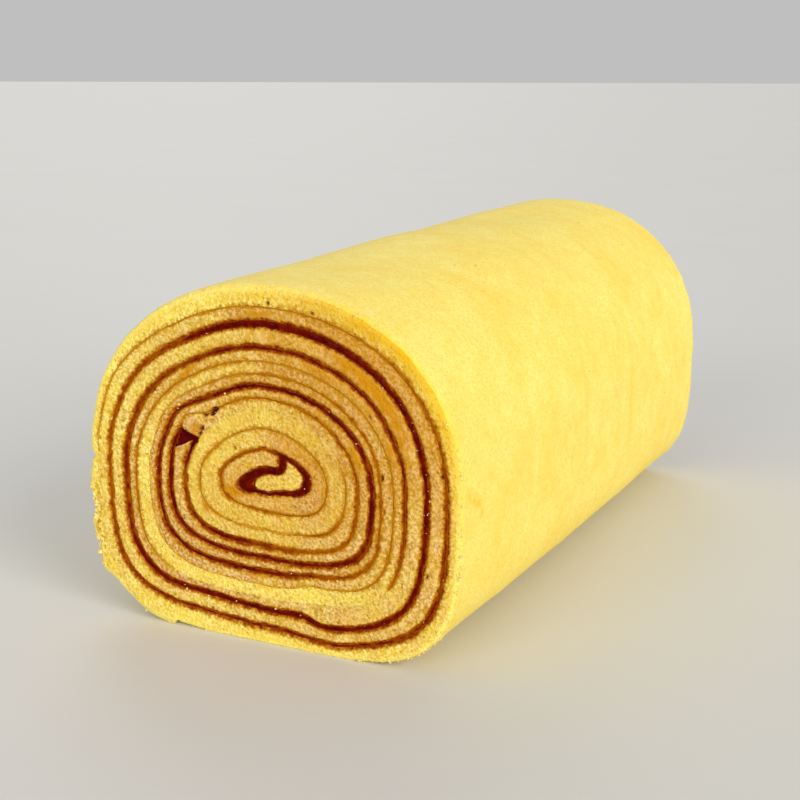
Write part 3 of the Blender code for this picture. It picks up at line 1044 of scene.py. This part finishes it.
def bits(name, centres, sizes, roughness, seed, made):
    """Many small rough balls as one mesh: each is turned at random, stretched and made uneven
    by a random factor at each corner."""
    rng = np.random.default_rng(seed)
    template, faces = ball_template()
    count = len(centres)
    turned = np.linalg.qr(rng.normal(size=(count, 3, 3)))[0]
    turned = turned * np.sign(np.linalg.det(turned))[:, None, None]
    stretch = rng.uniform(0.65, 1.25, (count, 1, 3))
    bumps = 1.0 + roughness * rng.normal(size=(count, len(template), 1))
    shapes = (template[None] * stretch * bumps) @ turned.transpose(0, 2, 1)
    points = centres[:, None] + shapes * sizes[:, None, None]
    points[..., 2] = np.maximum(points[..., 2], 0.0)
    mesh = bpy.data.meshes.new(name)
    every = (faces[None] + len(template) * np.arange(count)[:, None, None]).reshape(-1, 4)
    mesh.from_pydata(points.reshape(-1, 3).tolist(), [], every.tolist())
    shown(name, mesh, [made])


def crumb_places(count, rng):
    """Where crumbs cling: along the cut edge, most at the lower right and on the torn left
    side, and here and there on the cut face."""
    degrees = np.concatenate([
        rng.normal(-35.0, 28.0, count // 3),
        rng.uniform(180.0, 214.0, count // 5),
        rng.uniform(0.0, 360.0, count // 6),
    ])
    turn = (degrees + 90.0) / 360.0
    turn = SKIN_START + (turn - SKIN_START) % 1.0
    inset = np.abs(rng.normal(0.0, 0.5, len(turn)))
    rim = polar(reach(turn + 1.0) + torn(turn, np.zeros(len(turn)))[0] - inset, turn)
    behind = np.abs(rng.normal(0.0, 0.5, len(turn))) + 0.25 - 0.2 * (inset > 0.3)
    left = count - len(turn)
    inside = rng.uniform(1.0, 9.7, left)
    face = polar(reach(inside) + rng.uniform(0.6, 2.4, left), inside)
    return place(np.concatenate([rim, face]), np.concatenate([behind, np.full(left, 0.22)]))


def crystal_places(runs, rng):
    """Where sugar crystals show, pale partly as painted glints: runs of the winding line given by
    first and last turn and number."""
    turns = np.concatenate([rng.uniform(first, last, number) for first, last, number in runs])
    aside = rng.normal(0.0, 0.45, len(turns)) * half_filling(turns) * 2.0
    return place(polar(reach(turns) + aside, turns), np.full(len(turns), 0.14))


# ---------------------------------------------------------------- material nodes
class Nodes:
    """A shader node tree, with a short name for each kind of node that the finishes use."""

    def __init__(self, tree):
        self.tree = tree

    def add(self, kind, inputs, **settings):
        """A node with its settings and its inputs, each a number, a colour or a socket."""
        made = self.tree.nodes.new(kind)
        for name, value in settings.items():
            setattr(made, name, value)
        for name, value in inputs.items():
            if isinstance(value, bpy.types.NodeSocket):
                self.tree.links.new(value, made.inputs[name])
            else:
                made.inputs[name].default_value = value
        return made

    def maths(self, operation, a, b):
        """Arithmetic on two numbers or sockets."""
        return self.add("ShaderNodeMath", {0: a, 1: b}, operation=operation).outputs[0]

    def times(self, a, b):
        """The product of two values."""
        return self.maths("MULTIPLY", a, b)

    def plus(self, a, b):
        """The sum of two values."""
        return self.maths("ADD", a, b)

    def span(self, value, low, high, to_low=0.0, to_high=1.0):
        """A value stretched from one range to another, and kept in it."""
        inputs = {"Value": value, "From Min": low, "From Max": high,
                  "To Min": to_low, "To Max": to_high}
        return self.add("ShaderNodeMapRange", inputs).outputs[0]

    def blend(self, factor, a, b, kind="MIX"):
        """One colour laid over another by a factor."""
        inputs = {0: factor, 6: a, 7: b}
        return self.add("ShaderNodeMix", inputs, data_type="RGBA", blend_type=kind).outputs[2]

    def noise(self, position, scale, **inputs):
        """Soft noise at a scale, with what else its node is given."""
        inputs.update(Vector=position, Scale=scale)
        return self.add("ShaderNodeTexNoise", inputs).outputs[0]


def new_group(name, length, default, outputs):
    """An empty node group that takes a position and a length.  Returns its nodes, the
    position, one over the length, and where its outputs go."""
    tree = bpy.data.node_groups.new(name, "ShaderNodeTree")
    tree.interface.new_socket("Position", in_out="INPUT", socket_type="NodeSocketVector")
    socket = tree.interface.new_socket(length, in_out="INPUT", socket_type="NodeSocketFloat")
    socket.default_value = default
    for label in outputs:
        tree.interface.new_socket(label, in_out="OUTPUT", socket_type="NodeSocketFloat")
    nodes = Nodes(tree)
    given = tree.nodes.new("NodeGroupInput").outputs
    results = tree.nodes.new("NodeGroupOutput").inputs
    return nodes, given["Position"], nodes.maths("DIVIDE", 1.0, given[length]), results


def crumb_group():
    """Fine open crumb: Tone varies from grain to grain, Pores marks small hollows, where the cut
    sponge paints shade, and Height is both together."""
    outputs = ("Tone", "Pores", "Height")
    nodes, position, fine, results = new_group("open_crumb", "Grain", 0.0005, outputs)
    noise = nodes.noise(position, fine, Detail=2.0, Roughness=0.55)
    tone = nodes.span(noise, 0.38, 0.63)
    cells = {"Vector": position, "Scale": nodes.times(fine, 0.52)}
    cell = nodes.add("ShaderNodeTexVoronoi", cells).outputs["Distance"]
    frayed = nodes.plus(cell, nodes.times(noise, 0.35))
    pores = nodes.span(frayed, 0.38, 0.26)
    height = nodes.maths("SUBTRACT", nodes.times(tone, 0.6), nodes.times(pores, 0.5))
    for label, value in zip(outputs, (tone, pores, height)):
        nodes.tree.links.new(value, results[label])
    return nodes.tree


def mottle_group():
    """Slow patches from 0 to 1, with smaller ones in them."""
    nodes, position, slow, results = new_group("mottling", "Size", 0.01, ("Patches",))
    noise = nodes.noise(position, slow, Detail=4.0, Roughness=0.6, Distortion=0.4)
    nodes.tree.links.new(nodes.span(noise, 0.32, 0.68), results["Patches"])
    return nodes.tree


class Finish(Nodes):
    """A material: its Principled shader with its uniform values, the groups and masks that
    finishes read, and a colour that is laid down coat by coat."""

    def __init__(self, name, **uniform):
        self.material = bpy.data.materials.new(name)
        self.material.use_nodes = True
        super().__init__(self.material.node_tree)
        self.shader = self.tree.nodes["Principled BSDF"]
        for label, value in uniform.items():
            self.shader.inputs[label.replace("_", " ")].default_value = value
        self.position = self.tree.nodes.new("ShaderNodeTexCoord").outputs["Object"]
        self.colour = None

    def grain(self, size):
        """The open crumb, its grains of a size in metres."""
        group = bpy.data.node_groups.get("open_crumb") or crumb_group()
        inputs = {"Position": self.position, "Grain": size}
        return self.add("ShaderNodeGroup", inputs, node_tree=group).outputs

    def patches(self, size):
        """Mottling, its patches of a size in metres."""
        group = bpy.data.node_groups.get("mottling") or mottle_group()
        inputs = {"Position": self.position, "Size": size}
        return self.add("ShaderNodeGroup", inputs, node_tree=group).outputs["Patches"]

    def mask(self, name):
        """A mask stored on the mesh."""
        return self.add("ShaderNodeAttribute", {}, attribute_name=name).outputs["Fac"]

    def coat(self, factor, colour, kind="MIX"):
        """Lays a colour over the finish by a factor."""
        self.colour = self.blend(factor, self.colour, colour, kind)

    def give(self, **sockets):
        """Gives values that vary to the shader's sockets, and the colour to its base."""
        sockets["Base_Color"] = self.colour
        for label, value in sockets.items():
            self.tree.links.new(value, self.shader.inputs[label.replace("_", " ")])

    def bump(self, height, distance):
        """Raises the finest grain by a distance in metres."""
        inputs = {"Height": height, "Distance": distance, "Strength": 1.0}
        raised = self.add("ShaderNodeBump", inputs).outputs[0]
        self.tree.links.new(raised, self.shader.inputs["Normal"])


# ---------------------------------------------------------------- finishes
def cut_sponge(colours):
    """Cut sponge: pale and deeper grains, darker and more uneven where moist, pinker where
    moist and more lemon where dry, brown beside the filling, amber where it soaked, a painted
    glow of light and then skin colour at the rim, and painted shade in the pores and holes."""
    coats = Finish(
        "cut_sponge", Subsurface_Weight=0.12, Subsurface_Radius=(1.0, 0.5, 0.15),
        Subsurface_Scale=0.0009, Specular_IOR_Level=0.10)
    grain = coats.grain(0.00065)
    tone = grain["Tone"]
    wide, streaks, close = (coats.patches(size) for size in (0.007, 0.0052, 0.0016))
    moist, pore, amber, brown = (coats.mask(name) for name in ("moist", "pore", "amber", "brown"))
    dry = coats.blend(tone, colours.sponge_deep, colours.sponge_pale)
    damp = coats.blend(tone, colours.moist_deep, colours.moist_pale)
    blotches = coats.times(coats.maths("SUBTRACT", close, 0.5), 0.55)
    blotches = coats.times(blotches, coats.span(moist, 0.0, 0.5, 0.3, 1.0))
    coats.colour = coats.blend(coats.plus(moist, blotches), dry, damp)
    coats.coat(coats.times(wide, 0.40), colours.sponge_warm)
    yellow = coats.plus(coats.times(streaks, 0.32), coats.times(close, 0.28))
    yellow = coats.plus(yellow, coats.span(moist, 0.2, 0.9, 0.40, 0.0))
    tint = coats.blend(coats.span(yellow, 0.20, 0.72), colours.rosy, colours.lemon)
    coats.coat(1.0, tint, "MULTIPLY")
    # Painted shade in the pores and holes.
    painted_pore_shade = coats.maths("MAXIMUM", coats.times(grain["Pores"], 0.7), pore)
    coats.coat(coats.times(painted_pore_shade, 0.85), colours.pore, "MULTIPLY")
    # Painted glow of light through the thin sponge at the rim.
    coats.coat(coats.mask("golden"), colours.golden)
    coats.coat(coats.mask("rind"), colours.skin_pale)
    coats.coat(coats.span(amber, 0.0, 0.75), colours.amber)
    stained = coats.maths("SUBTRACT", coats.times(brown, 1.35), coats.times(tone, 0.38))
    coats.coat(coats.span(stained, 0.0, 0.55), colours.browned)
    coats.coat(coats.span(stained, 0.45, 1.0), colours.seeped)
    coats.coat(coats.span(stained, 0.85, 1.25, 0.0, 0.7), colours.fruit_red)
    coats.coat(coats.span(pore, 0.55, 0.95, 0.0, 0.9), colours.fruit_red)
    coats.give(Roughness=coats.span(amber, 0.0, 1.0, 0.75, 0.45))
    coats.bump(grain["Height"], 0.00022)
    return coats.material


def roll_skin(colours):
    """The baked skin: pale yellow with deeper patches, a very fine grain and a few dark
    specks; crumb shows where it is torn, a painted glow of light lies at the right of the cut,
    and the creases take a deeper golden tint."""
    coats = Finish(
        "roll_skin", Subsurface_Weight=0.12, Subsurface_Radius=(1.0, 0.6, 0.2),
        Subsurface_Scale=0.0012, Specular_IOR_Level=0.25)
    grain = coats.grain(0.0006)
    tone = grain["Tone"]
    slow, small = (coats.patches(size) for size in (0.014, 0.0035))
    torn_off = coats.mask("torn")
    deeper = coats.plus(coats.times(slow, 0.6), coats.times(small, 0.4))
    deeper = coats.span(deeper, 0.15, 0.85)
    coats.colour = coats.blend(deeper, colours.skin_pale, colours.skin_deep)
    coats.coat(coats.times(coats.span(tone, 0.45, 1.0), 0.55), colours.skin_fleck)
    spots = coats.add("ShaderNodeTexVoronoi", {
        "Vector": coats.position, "Scale": 165.0, "Randomness": 1.0}).outputs
    chosen = coats.span(spots["Color"], 0.45, 0.60, 0.0, 0.75)
    speck = coats.span(spots["Distance"], 0.050, 0.026)
    coats.coat(coats.times(speck, chosen), colours.speck)
    shreds = coats.plus(torn_off, coats.times(small, 0.3))
    crumb = coats.blend(tone, colours.sponge_deep, colours.sponge_pale)
    coats.coat(coats.span(shreds, 0.3, 0.7), crumb)
    # Painted glow of light at the right of the cut edge, and a deeper golden tint in the creases.
    coats.coat(coats.times(coats.mask("golden"), 0.75), colours.golden)
    coats.give(Roughness=coats.span(small, 0.0, 1.0, 0.55, 0.68))
    rough = coats.span(torn_off, 0.0, 1.0, 0.30, 1.0)
    coats.bump(coats.times(grain["Height"], rough), 0.00030)
    return coats.material


def fruit_filling(colours):
    """Fruit filling: from a pale brown stain where it is thin to glossy dark red where thick."""
    coats = Finish(
        "fruit_filling", Subsurface_Weight=0.04, Subsurface_Radius=(1.0, 0.15, 0.05),
        Subsurface_Scale=0.0008, Coat_Roughness=0.12, Specular_IOR_Level=0.0)
    grain = coats.grain(0.0006)
    dark = coats.mask("dark")
    blot = coats.plus(coats.times(coats.patches(0.002), 0.5), coats.span(dark, 1.0, 0.75))
    thick = coats.blend(coats.maths("MINIMUM", blot, 1.0), colours.fruit_dark, colours.fruit_red)
    coats.colour = coats.blend(coats.span(dark, 0.03, 0.22), colours.stain, colours.browned)
    coats.coat(coats.span(dark, 0.20, 0.46), colours.thin_filling)
    coats.coat(coats.span(dark, 0.44, 0.78), thick)
    crumbly = coats.times(coats.span(dark, 0.7, 0.1, 0.0, 0.35), grain["Tone"])
    coats.coat(crumbly, colours.browned)
    frayed = coats.times(coats.mask("brown"), grain["Tone"])
    coats.coat(coats.span(frayed, 0.25, 0.80, 0.0, 0.75), colours.seeped)
    coats.give(Roughness=coats.span(dark, 0.4, 0.95, 0.65, 0.28),
               Coat_Weight=coats.span(dark, 0.6, 1.0, 0.0, 0.04))
    coats.bump(grain["Height"], 0.00012)
    return coats.material


def loose_crumb(colours):
    """Loose crumbs: pale sponge with its grain."""
    coats = Finish("loose_crumb", Roughness=0.8)
    grain = coats.grain(0.0003)
    coats.colour = coats.blend(grain["Tone"], colours.sponge_warm, colours.sponge_pale)
    coats.coat(coats.times(coats.patches(0.004), 0.5), colours.skin_pale)
    coats.give()
    coats.bump(grain["Height"], 0.0001)
    return coats.material


def sugar_crystal_glint(colours):
    """Sugar crystals in the filling: glossy and tinged red, pale partly as a painted glint."""
    coats = Finish("sugar_crystal_glint", Roughness=0.08, Specular_IOR_Level=0.8)
    tone = coats.grain(0.0005)["Tone"]
    coats.colour = coats.blend(tone, colours.crystal, colours.fruit_red)
    coats.give()
    return coats.material


def floor_finish(colours):
    """A plain pale table top with a barely visible cloudiness."""
    coats = Finish("floor_finish", Roughness=0.6)
    clouds = coats.times(coats.patches(0.15), 0.12)
    coats.colour = coats.blend(clouds, colours.floor, colours.floor_cloud)
    coats.give()
    return coats.material


def finished(recipe):
    """A recipe's material, made once and found again by the recipe's name."""
    made = bpy.data.materials.get(recipe.__name__)
    return made or recipe(bpy.context.scene.cake_colours)


# ---------------------------------------------------------------- settings
def size_property(name, description, default):
    """A size in millimetres."""
    return FloatProperty(name=name, description=description + ", mm", default=default, min=0.05)


def colour_property(name, description, default):
    """A colour, given as linear red, green and blue."""
    return FloatVectorProperty(name=name, description=description, subtype="COLOR", size=4,
                               min=0.0, max=1.0, default=default + (1.0,))


class CakeSizes(bpy.types.PropertyGroup):
    """Sizes on the roll's surfaces, in millimetres unless said otherwise."""

    grain_spacing: size_property("Grain spacing", "Mesh spacing on the cut sponge", 0.34)
    filling_spacing: size_property("Filling spacing", "Mesh spacing along the cut filling", 0.30)
    skin_spacing: size_property("Skin spacing", "Mesh spacing along the skin", 1.45)
    pore_spacing: size_property("Pore spacing", "Distance from one open pore to the next", 2.2)
    pore_radius: size_property("Pore radius", "Radius of the largest common pores", 0.50)
    crumbs: IntProperty(name="Crumbs", description="Number of loose crumbs", default=520, min=6)
    floor_width: FloatProperty(
        name="Floor width", description="Width of the floor", default=40.0, unit="LENGTH")


class CakeColours(bpy.types.PropertyGroup):
    """Colours of the sponge, the skin and the filling."""

    sponge_pale: colour_property(
        "Pale sponge", "Lighter grains of the cut sponge", (0.975, 0.855, 0.400))
    sponge_deep: colour_property(
        "Deep sponge", "Darker grains of the cut sponge", (0.89, 0.635, 0.105))
    sponge_warm: colour_property("Warm sponge", "Slow warmer patches", (0.78, 0.43, 0.030))
    lemon: colour_property("Lemon", "Multiplier of the yellower patches", (0.975, 1.0, 0.58))
    rosy: colour_property("Rosy", "Multiplier of the pinker patches", (1.0, 0.935, 0.90))
    moist_pale: colour_property(
        "Pale moist", "Lighter grains of moist sponge", (0.80, 0.535, 0.265))
    moist_deep: colour_property(
        "Deep moist", "Darker grains of moist sponge", (0.425, 0.197, 0.014))
    browned: colour_property("Browned", "Sponge beside thin filling", (0.54, 0.265, 0.010))
    # Painted glow of light through the thin sponge under the skin, also the creases' tint.
    golden: colour_property("Golden", "Sponge just beneath the skin", (0.87, 0.53, 0.008))
    amber: colour_property("Amber", "Sponge soaked with fruit", (0.60, 0.25, 0.002))
    seeped: colour_property("Seeped", "Sponge browned beside the filling", (0.37, 0.088, 0.001))
    # Painted shade inside the pores and holes.
    pore: colour_property("Pore", "Multiplier inside the pores", (0.66, 0.40, 0.10))
    skin_pale: colour_property("Pale skin", "Lighter skin", (0.95, 0.80, 0.19))
    skin_deep: colour_property("Deep skin", "Deeper yellow patches", (0.94, 0.69, 0.11))
    skin_fleck: colour_property("Fleck", "Fine grain of the skin", (0.84, 0.58, 0.085))
    speck: colour_property("Speck", "Tiny dark specks", (0.20, 0.12, 0.02))
    stain: colour_property("Stain", "Faintest line between turns", (0.74, 0.42, 0.04))
    thin_filling: colour_property(
        "Thin filling", "Brown line of thin filling", (0.38, 0.102, 0.001))
    fruit_red: colour_property(
        "Red fruit", "Lighter parts of thick filling", (0.150, 0.0060, 0.0003))
    fruit_dark: colour_property(
        "Dark fruit", "Darker parts of thick filling", (0.062, 0.0006, 0.0005))
    # Pale partly as a painted glint on the glossy filling.
    crystal: colour_property("Crystal", "Sugar crystals", (0.92, 0.62, 0.42))
    floor: colour_property("Floor", "Table top", (0.70, 0.69, 0.66))
    floor_cloud: colour_property("Floor clouds", "Patches of the table top", (0.60, 0.59, 0.56))


# ---------------------------------------------------------------- operators
class CAKE_OT_sponge(bpy.types.Operator):
    """Makes the four sponge pieces and the skin"""

    bl_idname = "cake.sponge"
    bl_label = "Sponge Sheets"

    def execute(self, context):
        sizes = context.scene.cake_sizes
        cut = [finished(cut_sponge)]
        both = cut + [finished(roll_skin)]
        tip_piece(sizes).finish("cake_tip", "sponge_tip", "sponge", cut)
        inner_sheet(sizes).finish("cake_inner", "sponge_inner", "sponge", cut)
        middle_sheet(sizes).finish("cake_middle", "sponge_middle", "sponge", cut)
        outer_sheet(sizes).finish("cake_outer", "sponge_outer", "skin", both)
        return {"FINISHED"}


class CAKE_OT_filling(bpy.types.Operator):
    """Makes the three runs of fruit filling"""

    bl_idname = "cake.filling"
    bl_label = "Fruit Filling"

    def execute(self, context):
        sizes = context.scene.cake_sizes
        for name, made in (
            ("core", core_filling(sizes)),
            ("middle", winding_filling(sizes, *RUNS[1], pocket=True)),
            ("outer", winding_filling(sizes, *RUNS[2])),
        ):
            made.finish("jam_" + name, "filling_" + name, "filling", [finished(fruit_filling)])
        return {"FINISHED"}


class CAKE_OT_crystals(bpy.types.Operator):
    """Scatters sugar crystals in the thick filling, pale partly as painted glints"""

    bl_idname = "cake.crystals"
    bl_label = "Sugar Crystals"

    def execute(self, context):
        rng = np.random.default_rng(11)
        centres = crystal_places(CRYSTAL_RUNS, rng)
        radii = rng.uniform(0.08, 0.20, len(centres)) * MM
        bits("sugar_crystal_glints", centres, radii, 0.25, 12, finished(sugar_crystal_glint))
        return {"FINISHED"}


class CAKE_OT_crumbs(bpy.types.Operator):
    """Scatters loose crumbs on the cut edge and face"""

    bl_idname = "cake.crumbs"
    bl_label = "Loose Crumbs"

    def execute(self, context):
        rng = np.random.default_rng(21)
        centres = crumb_places(context.scene.cake_sizes.crumbs, rng)
        radii = (0.09 + 0.26 * rng.random(len(centres)) ** 2.5) * MM
        on_the_left = centres[:, 0] < -37.0 * MM
        radii *= np.where(on_the_left, 1.9, 1.0)
        bits("loose_crumbs", centres, radii, 0.16, 22, finished(loose_crumb))
        return {"FINISHED"}


class CAKE_OT_stage(bpy.types.Operator):
    """Makes the floor, the lights, the world and the camera"""

    bl_idname = "cake.stage"
    bl_label = "Stage"

    def execute(self, context):
        scene = context.scene
        half = 0.5 * scene.cake_sizes.floor_width
        mesh = bpy.data.meshes.new("floor")
        corners = [(-half, -half, 0.0), (half, -half, 0.0), (half, half, 0.0), (-half, half, 0.0)]
        mesh.from_pydata(corners, [], [(0, 1, 2, 3)])
        mesh.materials.append(finished(floor_finish))
        floor = bpy.data.objects.new("floor", mesh)
        scene.collection.objects.link(floor)

        for name, place_at, power, tint in LIGHTS:
            lamp = bpy.data.lights.new(name, "SUN")
            lamp.angle = math.radians(35.0)
            lamp.energy = power
            lamp.color = tint
            light = bpy.data.objects.new(name, lamp)
            light.location = place_at
            aim = Vector((0.0, 0.0, 0.04)) - Vector(place_at)
            light.rotation_euler = aim.to_track_quat("-Z", "Y").to_euler()
            scene.collection.objects.link(light)

        world = bpy.data.worlds.new("studio")
        world.use_nodes = True
        sky = world.node_tree.nodes["Background"]
        sky.inputs["Color"].default_value = (1.0, 1.0, 1.0, 1.0)
        sky.inputs["Strength"].default_value = 0.52
        scene.world = world
        scene.view_settings.view_transform = "Standard"

        lens = bpy.data.cameras.new("camera")
        lens.lens = 64.35
        camera = bpy.data.objects.new("camera", lens)
        camera.location = (0.1465, -0.3115, 0.1120)
        camera.rotation_euler = (math.radians(90.0 - 12.8), 0.0, math.radians(26.9))
        scene.collection.objects.link(camera)
        scene.camera = camera
        return {"FINISHED"}


class CAKE_PT_panel(bpy.types.Panel):
    """Lists the roll's operators and settings"""

    bl_label = "Swiss Roll Cake"
    bl_idname = "CAKE_PT_panel"
    bl_space_type = "VIEW_3D"
    bl_region_type = "UI"
    bl_category = "Cake"

    def draw(self, context):
        for operator in OPERATORS:
            self.layout.operator(operator.bl_idname)
        for settings in (context.scene.cake_sizes, context.scene.cake_colours):
            box = self.layout.box()
            for name in settings.__annotations__:
                box.prop(settings, name)


OPERATORS = (CAKE_OT_sponge, CAKE_OT_filling, CAKE_OT_crystals, CAKE_OT_crumbs, CAKE_OT_stage)
CLASSES = (CakeSizes, CakeColours) + OPERATORS + (CAKE_PT_panel,)


def register():
    """Registers every class and puts the settings on the scene."""
    for made in CLASSES:
        bpy.utils.register_class(made)
    bpy.types.Scene.cake_sizes = PointerProperty(type=CakeSizes)
    bpy.types.Scene.cake_colours = PointerProperty(type=CakeColours)


def unregister():
    """Takes the settings and the classes away again."""
    del bpy.types.Scene.cake_sizes
    del bpy.types.Scene.cake_colours
    for made in reversed(CLASSES):
        bpy.utils.unregister_class(made)


def main():
    """Makes the whole roll and its stage."""
    register()
    for step in (bpy.ops.cake.sponge, bpy.ops.cake.filling, bpy.ops.cake.crystals,
                 bpy.ops.cake.crumbs, bpy.ops.cake.stage):
        if step() != {"FINISHED"}:
            raise RuntimeError("a step of the cake did not finish")


if __name__ == "__main__":
    main()
